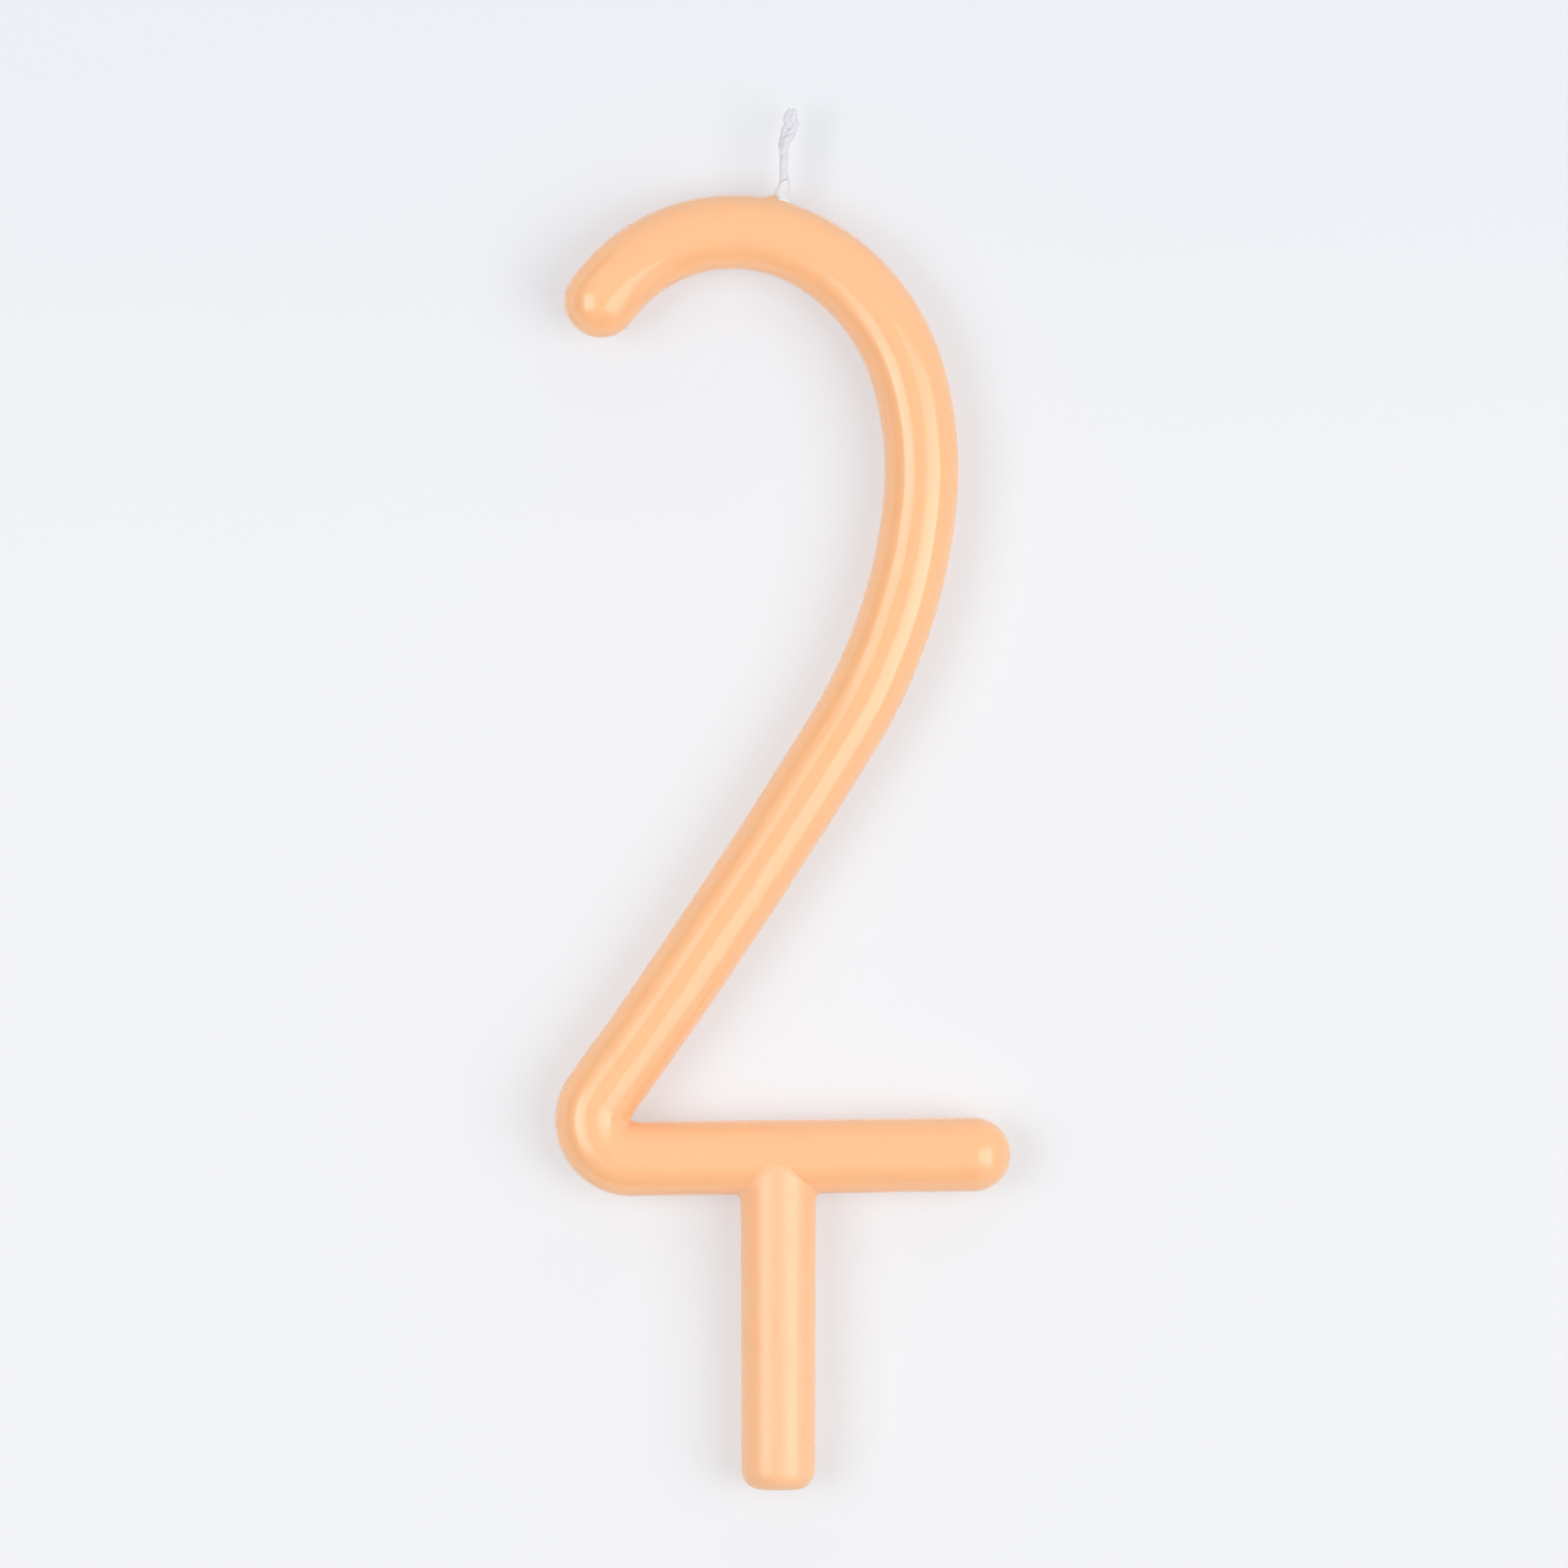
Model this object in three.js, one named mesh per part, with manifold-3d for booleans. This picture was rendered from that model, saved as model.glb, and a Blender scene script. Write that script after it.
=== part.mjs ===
// A number candle: a figure 2 bent from one round wax rod with domed ends, on a wax stem that is
// pushed into the cake, with a braided cotton wick at the crown.
// Millimetres, +Z up. The figure is read from -Y. The origin is the middle of the stem's flat tip.
import * as THREE from "three";
import { mergeVertices } from "three/addons/utils/BufferGeometryUtils.js";
import Module from "manifold-3d";

// The wax rod that the figure is bent from
const rodDiameter = 8.0;

// The foot, a straight bar: how far it runs from the stem's axis, and how much it climbs to the right
const footRight = 20.9;
const footLeft = 15.7;
const footClimb = 0.8; // degrees

// The bends of the figure, in order from the foot: how far each one turns, and its radius.
// The corner folds so tightly that its inner side all but closes.
const cornerInnerRadius = 0.2;
const cornerTurn = 126.8; // degrees, and so are the turns below
const diagonalRadius = 590;
const diagonalTurn = 4.6;
const waistRadius = 56.5;
const waistTurn = 27.0;
const flankRadius = 36.1;
const flankTurn = 20.8;
const shoulderRadius = 22.0;
const shoulderTurn = 44.4;
const hookRadius = 17.2;
const hookTurn = 84.2;

// The stem, a second rod with a slight taper and a blunt, rounded tip, welded under the foot
const stemLength = 31.6; // from its tip to the foot's underside
const stemTopDiameter = 8.15;
const stemTipDiameter = 7.95;
const stemTipFlat = 4.0; // diameter of the flat face
const stemTipRounding = 2.1; // height of the rounded edge
const weldGap = 0.3; // between the coped top of the stem and the foot

// The wick, a flat braid. It lies on the rod's axis down to the diagonal, bends up at the crown and
// stands out of it edge-on, then leans to the right and turns its broad side to the front.
const wickWidth = 1.8;
const wickThickness = 1.0;
const wickBuried = 62; // length on the rod's axis
const wickAlongHook = 1.3; // how far past the shoulder it leaves the axis
const wickBendRadius = 3.0;
const wickUpright = 5.75; // from the crown to where it starts to lean
const wickLean = 30; // degrees
const wickLeanRadius = 2.8;
const wickTip = 0.95; // straight end past the lean
const wickFit = 0.15; // clearance round the wick

// The wax drawn up round the wick on the crown, and the white wax that seals the wick's foot
const bossRadius = 2.2;
const bossRise = 0.4;
const sealHeight = 1.9;
const sealFootWall = 0.4;
const sealTopWall = 0.12;
const sealGap = 0.1;

// Fineness of the faces
const rodSides = 32;
const wickSides = 14;
const bossSides = 24;
const bendStep = 7; // degrees from one ring to the next
const domeRings = 7;
const sealRings = 5;
const wickTurnStep = 0.5; // mm from one ring to the next where the braid turns

// Sizes that follow
const rodRadius = rodDiameter / 2;
const cornerRadius = rodRadius + cornerInnerRadius;
const footHeight = stemLength + rodRadius;

const wasm = await Module();
wasm.setup();

// A closed geometry as a solid that can be joined and cut.
function toSolid(geometry) {
  const bare = new THREE.BufferGeometry();
  bare.setAttribute("position", geometry.getAttribute("position"));
  bare.setIndex(geometry.getIndex());
  const merged = mergeVertices(bare, 1e-4);
  const mesh = new wasm.Mesh({
    numProp: 3,
    vertProperties: merged.getAttribute("position").array,
    triVerts: new Uint32Array(merged.getIndex().array),
  });
  return new wasm.Manifold(mesh);
}

// The solid's faces as a geometry with flat shading.
function toGeometry(solid) {
  const mesh = solid.getMesh();
  const geometry = new THREE.BufferGeometry();
  geometry.setAttribute("position", new THREE.BufferAttribute(mesh.vertProperties, 3));
  geometry.setIndex(new THREE.BufferAttribute(mesh.triVerts, 1));
  const flat = geometry.toNonIndexed();
  flat.computeVertexNormals();
  return flat;
}

// One leg of a centreline: an arc that turns left where its turn is positive, or a straight run.
function arc(radius, degrees) {
  const turn = THREE.MathUtils.degToRad(degrees);
  return { turn, length: radius * Math.abs(turn) };
}

function straight(length) {
  return { turn: 0, length };
}

// Where a leg has got to after a distance from the pose it starts in.
function advance(pose, leg, distance) {
  const bend = leg.turn / leg.length;
  const heading = pose.heading + bend * distance;
  if (leg.turn === 0) {
    const x = pose.x + distance * Math.cos(heading);
    const z = pose.z + distance * Math.sin(heading);
    return { x, z, heading };
  }
  const x = pose.x + (Math.sin(heading) - Math.sin(pose.heading)) / bend;
  const z = pose.z - (Math.cos(heading) - Math.cos(pose.heading)) / bend;
  return { x, z, heading };
}

// A line in the XZ plane whose legs each set off in the direction that the last one ended in.
class Centreline extends THREE.Curve {
  constructor(start, legs) {
    super();
    this.start = start;
    this.legs = legs;
    this.length = legs.reduce((sum, leg) => sum + leg.length, 0);
  }

  // Past either end the line runs on straight.
  poseAt(distance) {
    if (distance < 0) {
      return advance(this.start, straight(1), distance);
    }
    let pose = this.start;
    let left = distance;
    for (const leg of this.legs) {
      if (left <= leg.length) {
        return advance(pose, leg, left);
      }
      pose = advance(pose, leg, leg.length);
      left -= leg.length;
    }
    return advance(pose, straight(1), left);
  }

  getPoint(share) {
    const pose = this.poseAt(share * this.length);
    return new THREE.Vector3(pose.x, 0, pose.z);
  }

  // The distances that need a ring: each leg's ends, and steps of a few degrees on its arc.
  stations() {
    const marks = [0];
    let from = 0;
    for (const leg of this.legs) {
      const steps = Math.max(1, Math.ceil(THREE.MathUtils.radToDeg(Math.abs(leg.turn)) / bendStep));
      for (let i = 1; i <= steps; i++) {
        marks.push(from + (leg.length * i) / steps);
      }
      from += leg.length;
    }
    return marks;
  }

  // The legs between two distances, as a line of their own.
  part(from, to) {
    const legs = [];
    let passed = 0;
    for (const leg of this.legs) {
      const low = Math.max(from, passed);
      const high = Math.min(to, passed + leg.length);
      if (high > low) {
        legs.push({ turn: (leg.turn * (high - low)) / leg.length, length: high - low });
      }
      passed += leg.length;
    }
    return new Centreline(this.poseAt(from), legs);
  }
}

// Bends a straight rod, turned round the Y axis from y = 0, onto a line. The section that it has at
// each distance can be made oval and turned by shape(distance).
function bend(rod, line, shape = () => ({ across: 1, deep: 1, turned: 0 })) {
  const place = rod.getAttribute("position");
  for (let i = 0; i < place.count; i++) {
    const distance = place.getY(i);
    const { across, deep, turned } = shape(distance);
    const a = place.getX(i) * across;
    const b = place.getZ(i) * deep;
    const u = a * Math.cos(turned) - b * Math.sin(turned);
    const w = a * Math.sin(turned) + b * Math.cos(turned);
    const { x, z, heading } = line.poseAt(distance);
    place.setXYZ(i, x - u * Math.sin(heading), w, z + u * Math.cos(heading));
  }
  return rod;
}

// A straight rod with domed ends, their centres at the first and the last station.
function domedRod(radius, stations, sides, domeHeight = radius) {
  const first = stations[0];
  const last = stations[stations.length - 1];
  const profile = [];
  for (let i = 0; i < domeRings; i++) {
    const angle = ((Math.PI / 2) * i) / domeRings;
    profile.push(new THREE.Vector2(radius * Math.sin(angle), first - domeHeight * Math.cos(angle)));
  }
  for (const station of stations) {
    profile.push(new THREE.Vector2(radius, station));
  }
  for (let i = domeRings - 1; i >= 0; i--) {
    const angle = ((Math.PI / 2) * i) / domeRings;
    profile.push(new THREE.Vector2(radius * Math.sin(angle), last + domeHeight * Math.cos(angle)));
  }
  return new THREE.LatheGeometry(profile, sides);
}

// The centreline of the figure, from the middle of the foot's right dome to that of the hook's.
function figureLine() {
  const climb = THREE.MathUtils.degToRad(footClimb);
  const start = { x: footRight, z: footHeight + footRight * Math.tan(climb), heading: Math.PI + climb };
  return new Centreline(start, [
    straight(footRight + footLeft),
    arc(cornerRadius, -cornerTurn),
    arc(diagonalRadius, diagonalTurn),
    arc(waistRadius, waistTurn),
    arc(flankRadius, flankTurn),
    arc(shoulderRadius, shoulderTurn),
    arc(hookRadius, hookTurn),
  ]);
}

// The height of the crown's upper side at an x within the hook's arc.
function crownHeight(figure, x) {
  const start = figure.poseAt(figure.length - arc(hookRadius, hookTurn).length);
  const middleX = start.x - hookRadius * Math.sin(start.heading);
  const middleZ = start.z + hookRadius * Math.cos(start.heading);
  return middleZ + Math.sqrt((hookRadius + rodRadius) ** 2 - (x - middleX) ** 2);
}

// The wick's line, along the figure's axis to the crown, then up and out of it, with the place where
// it comes out and the distances between which it leans.
function wickRoute(figure) {
  const leave = figure.length - arc(hookRadius, hookTurn).length + wickAlongHook;
  const buried = figure.part(leave - wickBuried, leave);
  const heading = THREE.MathUtils.radToDeg(figure.poseAt(leave).heading);
  const upward = new Centreline(buried.start, [...buried.legs, arc(wickBendRadius, 90 - heading)]);
  const below = upward.poseAt(upward.length);
  const crown = { x: below.x, z: crownHeight(figure, below.x) };
  const lean = arc(wickLeanRadius, -wickLean);
  const back = arc(wickLeanRadius, wickLean);
  const rise = crown.z - below.z + wickUpright;
  const line = new Centreline(upward.start, [...upward.legs, straight(rise), lean, back, straight(wickTip)]);
  const leanFrom = upward.length + rise;
  return { line, crown, leanFrom, leanTo: leanFrom + lean.length + back.length };
}

function makeDigit(figure, wick) {
  const rod = toSolid(bend(domedRod(rodRadius, figure.stations(), rodSides), figure));
  const boss = new THREE.SphereGeometry(bossRadius, bossSides, bossSides / 2);
  boss.translate(wick.crown.x, 0, wick.crown.z + bossRise - bossRadius);
  const section = { across: wickThickness / 2 + wickFit, deep: wickWidth / 2 + wickFit, turned: 0 };
  const bore = bend(domedRod(1, wick.line.stations(), wickSides, section.across), wick.line, () => section);
  return toGeometry(rod.add(toSolid(boss)).subtract(toSolid(bore)));
}

function makeStem(figure) {
  const profile = [new THREE.Vector2(0, 0)];
  const tipRadius = stemTipDiameter / 2;
  const flatRadius = stemTipFlat / 2;
  for (let i = 0; i <= domeRings; i++) {
    const angle = ((Math.PI / 2) * i) / domeRings;
    const radius = flatRadius + (tipRadius - flatRadius) * Math.sin(angle);
    profile.push(new THREE.Vector2(radius, stemTipRounding * (1 - Math.cos(angle))));
  }
  profile.push(new THREE.Vector2(stemTopDiameter / 2, footHeight));
  profile.push(new THREE.Vector2(0, footHeight));
  const rod = new THREE.LatheGeometry(profile, rodSides);
  rod.rotateX(Math.PI / 2);
  const cope = bend(domedRod(rodRadius + weldGap, [0, footRight + footLeft], rodSides), figure);
  return toGeometry(toSolid(rod).subtract(toSolid(cope)));
}

function makeWick(wick) {
  const turnFrom = wick.leanFrom - wickWidth / 2;
  const marks = wick.line.stations().filter((mark) => mark < turnFrom || mark > wick.leanTo);
  const steps = Math.ceil((wick.leanTo - turnFrom) / wickTurnStep);
  for (let i = 0; i <= steps; i++) {
    marks.push(turnFrom + ((wick.leanTo - turnFrom) * i) / steps);
  }
  marks.sort((a, b) => a - b);
  const section = (distance) => {
    const share = THREE.MathUtils.smoothstep(distance, turnFrom, wick.leanTo);
    return { across: wickThickness / 2, deep: wickWidth / 2, turned: (share * Math.PI) / 2 };
  };
  return toGeometry(toSolid(bend(domedRod(1, marks, wickSides, wickThickness / 2), wick.line, section)));
}

// An oval collar with a concave flank, round the wick where the wick leaves the boss.
function makeSeal(crown) {
  const inner = wickThickness / 2 + wickFit;
  const foot = inner + sealFootWall;
  const top = inner + sealTopWall;
  const profile = [new THREE.Vector2(inner, 0)];
  for (let i = 0; i <= sealRings; i++) {
    const share = i / sealRings;
    profile.push(new THREE.Vector2(top + (foot - top) * (1 - share) ** 2, sealHeight * share));
  }
  profile.push(new THREE.Vector2(inner, sealHeight));
  profile.push(profile[0].clone());
  const seal = new THREE.LatheGeometry(profile, wickSides * 2);
  const place = seal.getAttribute("position");
  const deeper = (wickWidth - wickThickness) / 2;
  for (let i = 0; i < place.count; i++) {
    const radius = Math.hypot(place.getX(i), place.getZ(i));
    place.setZ(i, (place.getZ(i) * (radius + deeper)) / radius);
  }
  seal.rotateX(Math.PI / 2);
  seal.translate(crown.x, 0, crown.z + bossRise + sealGap);
  return toGeometry(toSolid(seal));
}

const peachWax = { color: 0xfdc898, roughness: 0.28, metalness: 0 };
const cotton = { color: 0xe4e3e8, roughness: 0.85, metalness: 0 };
const whiteWax = { color: 0xf1ece6, roughness: 0.4, metalness: 0 };

function piece(name, geometry, finish) {
  const mesh = new THREE.Mesh(geometry, new THREE.MeshStandardMaterial(finish));
  mesh.name = name;
  return mesh;
}

const figure = figureLine();
const wick = wickRoute(figure);

const candle = new THREE.Group();
candle.add(piece("digit", makeDigit(figure, wick), peachWax));
candle.add(piece("stem", makeStem(figure), peachWax));
candle.add(piece("wick", makeWick(wick), cotton));
candle.add(piece("wick_seal", makeSeal(wick.crown), whiteWax));

export default candle;
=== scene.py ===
# %% [markdown]
# # A number candle
# This lesson builds a cake candle: a figure 2 bent from one round rod of peach wax, welded to a wax
# stem, with a braided cotton wick at its crown. It lies on a white sheet between two soft boxes.
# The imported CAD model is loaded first. It fixes the sizes and the frame, and each of its parts is then
# stood for by a finer mesh with its own finish. Lengths are in millimetres until a mesh is made.

# %% Start
import math

import bpy
import numpy as np
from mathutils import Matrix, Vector


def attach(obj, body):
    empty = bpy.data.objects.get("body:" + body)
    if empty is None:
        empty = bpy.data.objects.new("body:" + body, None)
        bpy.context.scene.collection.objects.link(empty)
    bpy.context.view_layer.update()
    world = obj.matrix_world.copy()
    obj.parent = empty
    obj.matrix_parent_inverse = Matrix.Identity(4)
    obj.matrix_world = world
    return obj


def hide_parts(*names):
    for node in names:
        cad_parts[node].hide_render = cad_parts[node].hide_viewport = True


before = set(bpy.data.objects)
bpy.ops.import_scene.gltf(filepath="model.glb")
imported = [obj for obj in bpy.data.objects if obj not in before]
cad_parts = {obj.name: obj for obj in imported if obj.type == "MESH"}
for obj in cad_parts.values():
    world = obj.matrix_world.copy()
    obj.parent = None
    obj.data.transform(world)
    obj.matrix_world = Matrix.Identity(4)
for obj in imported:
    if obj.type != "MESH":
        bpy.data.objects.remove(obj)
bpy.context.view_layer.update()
MM = 0.001

# %% [markdown]
# ## From arrays to meshes
# Every wax piece here is a skin of rings: a ring of points round the rod, then the next ring a little
# further along. A skin like that can be made with curves and a bevel, but the points of a curve's bevel
# can't be moved one by one, and the wax has fillets and dents. So the rings are worked out with numpy
# and joined with faces here, and each end closes on one point. The volume of a closed mesh comes out
# negative where its faces look inwards, and then they are turned round.


# %% Skins
def volume(made):
    """The mesh's volume in cubic mm: it is positive where the faces look outwards."""
    mesh = made.data
    mesh.calc_loop_triangles()
    points = np.zeros(3 * len(mesh.vertices), dtype=np.float32)
    corners = np.zeros(3 * len(mesh.loop_triangles), dtype=np.int32)
    mesh.vertices.foreach_get("co", points)
    mesh.loop_triangles.foreach_get("vertices", corners)
    a, b, c = np.moveaxis(points.reshape(-1, 3)[corners.reshape(-1, 3)].astype(float) / MM, 1, 0)
    return float((a * np.cross(b, c)).sum() / 6)


def skin(name, rings, first, last):
    """A closed mesh from rings of points in mm, from the point first to the point last."""
    count, around = len(rings), len(rings[0])
    points = np.concatenate([[first], np.reshape(rings, (-1, 3)), [last]]) * MM
    faces = []
    for i in range(around):
        j = (i + 1) % around
        faces.append((0, 1 + j, 1 + i))
        faces.append((len(points) - 1, 1 + (count - 1) * around + i, 1 + (count - 1) * around + j))
    for k in range(count - 1):
        low = 1 + k * around
        for i in range(around):
            j = (i + 1) % around
            faces.append((low + i, low + j, low + around + j, low + around + i))
    mesh = bpy.data.meshes.new(name)
    mesh.from_pydata(points.tolist(), [], faces)
    mesh.validate()
    mesh.shade_smooth()
    made = bpy.data.objects.new(name, mesh)
    bpy.context.scene.collection.objects.link(made)
    if volume(made) < 0:
        mesh.flip_normals()
    return made


# %% [markdown]
# ## The figure's centreline
# A bender makes such a figure from a straight rod on a few round formers, so its centreline is a chain
# of arcs, each of which sets off in the direction that the last one ended in. A Bézier curve could be
# drawn over it, but its radius would wander. The chain is kept as pairs of length and turn, and one
# function walks along it.


# %% Walking along a line
def arc(radius, degrees):
    """Length in mm and turn in radians of a round leg. A turn to the left is positive."""
    turn = math.radians(degrees)
    return radius * abs(turn), turn


def walk(start, legs, distances):
    """x, z and heading at each distance along the legs from the start pose. It runs on past both ends."""
    distances = np.atleast_1d(np.asarray(distances, float))
    x, z, heading = start
    out = np.zeros((3, len(distances)))
    passed = 0.0
    for number, (length, turn) in enumerate(legs):
        here = distances >= passed if number else np.full(len(distances), True)
        d = distances[here] - passed
        bend = turn / length
        if number == 0:
            bend_here = np.where(d < 0, 0.0, bend)
        else:
            bend_here = np.full(len(d), bend)
        if number == len(legs) - 1:
            over = np.maximum(d - length, 0.0)
        else:
            over = np.zeros(len(d))
        d = d - over
        angle = heading + bend_here * d
        safe = np.where(np.abs(bend_here) < 1e-9, 1.0, bend_here)
        flat = np.abs(bend_here) < 1e-9
        px = x + np.where(flat, d * math.cos(heading), (np.sin(angle) - math.sin(heading)) / safe)
        pz = z + np.where(flat, d * math.sin(heading), -(np.cos(angle) - math.cos(heading)) / safe)
        out[:, here] = (px + over * np.cos(angle), pz + over * np.sin(angle), angle)
        end = heading + turn
        if abs(turn) < 1e-9:
            x, z = x + length * math.cos(heading), z + length * math.sin(heading)
        else:
            x = x + (math.sin(end) - math.sin(heading)) / bend
            z = z - (math.cos(end) - math.cos(heading)) / bend
        heading, passed = end, passed + length
    return out


# %% The figure's legs
ROD = 4.0  # radius of the figure's rod
STEM_LENGTH = 31.6
FOOT_RIGHT, FOOT_LEFT, FOOT_CLIMB = 20.9, 15.7, math.radians(0.8)
FOOT_HEIGHT = STEM_LENGTH + ROD
FOLD = 0.2  # radius of the corner's inner side
HOOK = 17.2  # radius of the hook's centreline
figure_start = (FOOT_RIGHT, FOOT_HEIGHT + FOOT_RIGHT * math.tan(FOOT_CLIMB), math.pi + FOOT_CLIMB)
figure_legs = [
    (FOOT_RIGHT + FOOT_LEFT, 0.0),
    arc(ROD + FOLD, -126.8),  # the corner
    arc(590, 4.6),  # the diagonal
    arc(56.5, 27.0),  # the waist
    arc(36.1, 20.8),  # the flank
    arc(22.0, 44.4),  # the shoulder
    arc(HOOK, 84.2),
]
figure_ends = np.cumsum([0.0] + [length for length, _ in figure_legs])
figure_length = figure_ends[-1]
corner_from, corner_to = figure_ends[1:3]
hook_from = figure_ends[-2]
print("rod's length on its centreline, mm:", round(figure_length, 1))

# %% [markdown]
# ## The rod's skin
# The rings are 0.3 mm apart, which is fine enough for the tight corner, and each end is a dome: rings
# that shrink as the cosine while they move on as the sine. Warm wax bent by hand is never quite round
# or even, which shows as a slow wobble in the long highlights, so a few long waves of a hundredth of a
# millimetre or two are added to the radius. A displacement texture would do that too, but waves along
# the rod are what a bender's hands leave.


# %% Rings of the rod
AROUND = 96


def ring_places(length, radius, spacing, dome_steps=14):
    """Each ring's distance along a domed rod and its share of the radius, without the domes' poles."""
    steps = max(2, int(round(length / spacing)))
    middle = np.linspace(0, length, steps + 1)
    angles = np.linspace(0, math.pi / 2, dome_steps + 1)[1:-1]
    distances = np.concatenate([-radius * np.sin(angles[::-1]), middle, length + radius * np.sin(angles)])
    shrink = np.concatenate([np.cos(angles[::-1]), np.ones(len(middle)), np.cos(angles)])
    return distances, shrink


def hand_made(along, angle):
    """Unevenness of a hand-bent rod in mm, at a distance along it and an angle round it."""
    slow = 0.016 * np.sin(along / 5.3 + 0.6) * np.cos(angle - 0.5)
    slow = slow + 0.014 * np.sin(along / 3.1 + 2.0) * np.cos(angle + 1.1 + along / 40)
    slow = slow + 0.012 * np.sin(along / 8.7 + 4.0) * np.cos(2 * angle + along / 23)
    return slow + 0.008 * np.sin(along / 1.9 + 1.0) * np.cos(2 * angle - 0.8)


around = np.linspace(0, 2 * math.pi, AROUND, endpoint=False)
RING_STEP = 0.3
distances, shrink = ring_places(figure_length, ROD, RING_STEP)
line_x, line_z, line_heading = walk(figure_start, figure_legs, distances)
along, angle = np.meshgrid(distances, around, indexing="ij")
# The middle of the waves lies a hundredth inside the CAD rod, so only their crests reach past it.
radius = (ROD - 0.01 + hand_made(along, angle)) * shrink[:, None]
outward = radius * np.cos(angle)
rings = np.stack(
    [
        line_x[:, None] - outward * np.sin(line_heading)[:, None],
        radius * np.sin(angle),
        line_z[:, None] + outward * np.cos(line_heading)[:, None],
    ],
    axis=-1,
)
print("rod:", rings.shape[0], "rings of", AROUND)

# %% [markdown]
# ## Fillets by distance
# Where two rods of wax meet, the wax runs into the crease and leaves a small fillet. A bevel can't
# reach it, because the two skins only touch. Instead each point near the crease is moved onto the
# surface where a blend of the two rods' distances is zero. The blend is round: it is zero on a quarter
# circle that touches both rods.


# %% Distances and their blend
def straight_distance(points, a, b, radius):
    """How far points are outside a straight round rod from a to b with domed ends, in mm."""
    a, b = np.asarray(a, float), np.asarray(b, float)
    along = np.clip(((points - a) @ (b - a)) / ((b - a) @ (b - a)), 0, 1)
    return np.linalg.norm(points - a - along[..., None] * (b - a), axis=-1) - radius


def round_blend(first, second, fillet):
    """The distance to two shapes together, with a fillet in the crease between them."""
    u = np.maximum(fillet - first, 0)
    v = np.maximum(fillet - second, 0)
    return np.maximum(fillet, np.minimum(first, second)) - np.hypot(u, v)


def settle(points, field, rounds=12):
    """Moves points onto the zero of a distance field, along its slope."""
    points = points.copy()
    step = 1e-4
    for _ in range(rounds):
        here = field(points)
        slope = np.stack(
            [(field(points + step * axis) - field(points - step * axis)) / (2 * step) for axis in np.eye(3)],
            axis=-1,
        )
        size = np.maximum((slope**2).sum(axis=-1, keepdims=True), 0.05)
        points = points - here[..., None] * slope / size
    return points


# %% [markdown]
# ## The corner's web
# At the corner the rod folds back so tightly that wax is squeezed out of the inside of the bend. The
# foot and the diagonal are two straight rods there, so the web is the round blend between them.

# %% The corner's web
WEB = 0.85  # the fillet's radius in mm
foot_from = walk(figure_start, figure_legs, 0.0)[:, 0]
foot_to = walk(figure_start, figure_legs, corner_from)[:, 0]
rise_from = walk(figure_start, figure_legs, corner_to)[:, 0]
rise_to = walk(figure_start, figure_legs, corner_to + 14)[:, 0]  # well past the web


def corner_field(points):
    """The distance to the foot and the diagonal together."""
    foot = straight_distance(points, (foot_from[0], 0, foot_from[1]), (foot_to[0], 0, foot_to[1]), ROD)
    rise = straight_distance(points, (rise_from[0], 0, rise_from[1]), (rise_to[0], 0, rise_to[1]), ROD)
    return round_blend(foot, rise, WEB)


near = (along > corner_from - 5) & (along < corner_to + 5)
# The bend's own skin lies outside both straight rods except at its inner side, where the web covers it.
covered = near & (corner_field(rings) < -1e-4)
rings[covered] = settle(rings[covered], corner_field)
print("points moved onto the web:", int(covered.sum()))

# %% [markdown]
# ## Marks in the wax
# A low boss of wax is drawn up round the wick as the wax sets, higher to the left of the wick. A
# fingernail left one small nick on the flank. Both are bumps that fade with distance, which is what a
# sculpting brush does, only written down.


# %% Boss and nick
WICK_X = 0.62  # where the wick leaves the crown
BOSS_LEFT, BOSS_REACH, BOSS_HEIGHT = 0.70, 1.7, 0.55
NICK = (11.55, -2.8, 85.6)  # on the skin, at the flank's front
NICK_REACH, NICK_DEPTH = 0.45, 0.10


def press(rings, centre, reach, push, direction):
    """Moves the points within about reach of a centre, most at the centre."""
    away = np.linalg.norm(rings - np.asarray(centre), axis=-1)
    weight = np.exp(-((away / reach) ** 2) * 2)
    return rings + push * weight[..., None] * np.asarray(direction)


hook_start = walk(figure_start, figure_legs, hook_from)[:, 0]
hook_middle = (hook_start[0] - HOOK * math.sin(hook_start[2]), hook_start[1] + HOOK * math.cos(hook_start[2]))
crown_z = hook_middle[1] + math.sqrt((HOOK + ROD) ** 2 - (WICK_X - hook_middle[0]) ** 2)
rings = press(rings, (WICK_X - BOSS_LEFT, 0, crown_z + 0.1), BOSS_REACH, BOSS_HEIGHT, (0, 0, 1))
boss_top = float(rings[..., 2].max())
rings = press(rings, NICK, NICK_REACH, NICK_DEPTH, (-0.3, 0.95, 0))
print("crown at the wick, mm:", round(crown_z, 2), "boss:", round(boss_top, 2))

# %% The figure's mesh
start = walk(figure_start, figure_legs, -ROD)[:, 0]
end = walk(figure_start, figure_legs, figure_length + ROD)[:, 0]
digit = skin("digit_wax", rings, (start[0], 0, start[1]), (end[0], 0, end[1]))
print("digit, mm3:", round(volume(digit), 1))

# %% [markdown]
# ## The stem
# The stem is a second rod. Its top is cut to a saddle that fits the foot, then the two are melted
# together, which leaves a crease in the shape of an upside-down V on the front, with a blunt point: the
# fillet is full at the sides, where the rods meet squarely, and a third of that in front, where they
# run into each other. Each of the stem's lines therefore ends where it meets the foot, turns out along
# the foot's underside for the fillet, and sinks into the foot.


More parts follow.
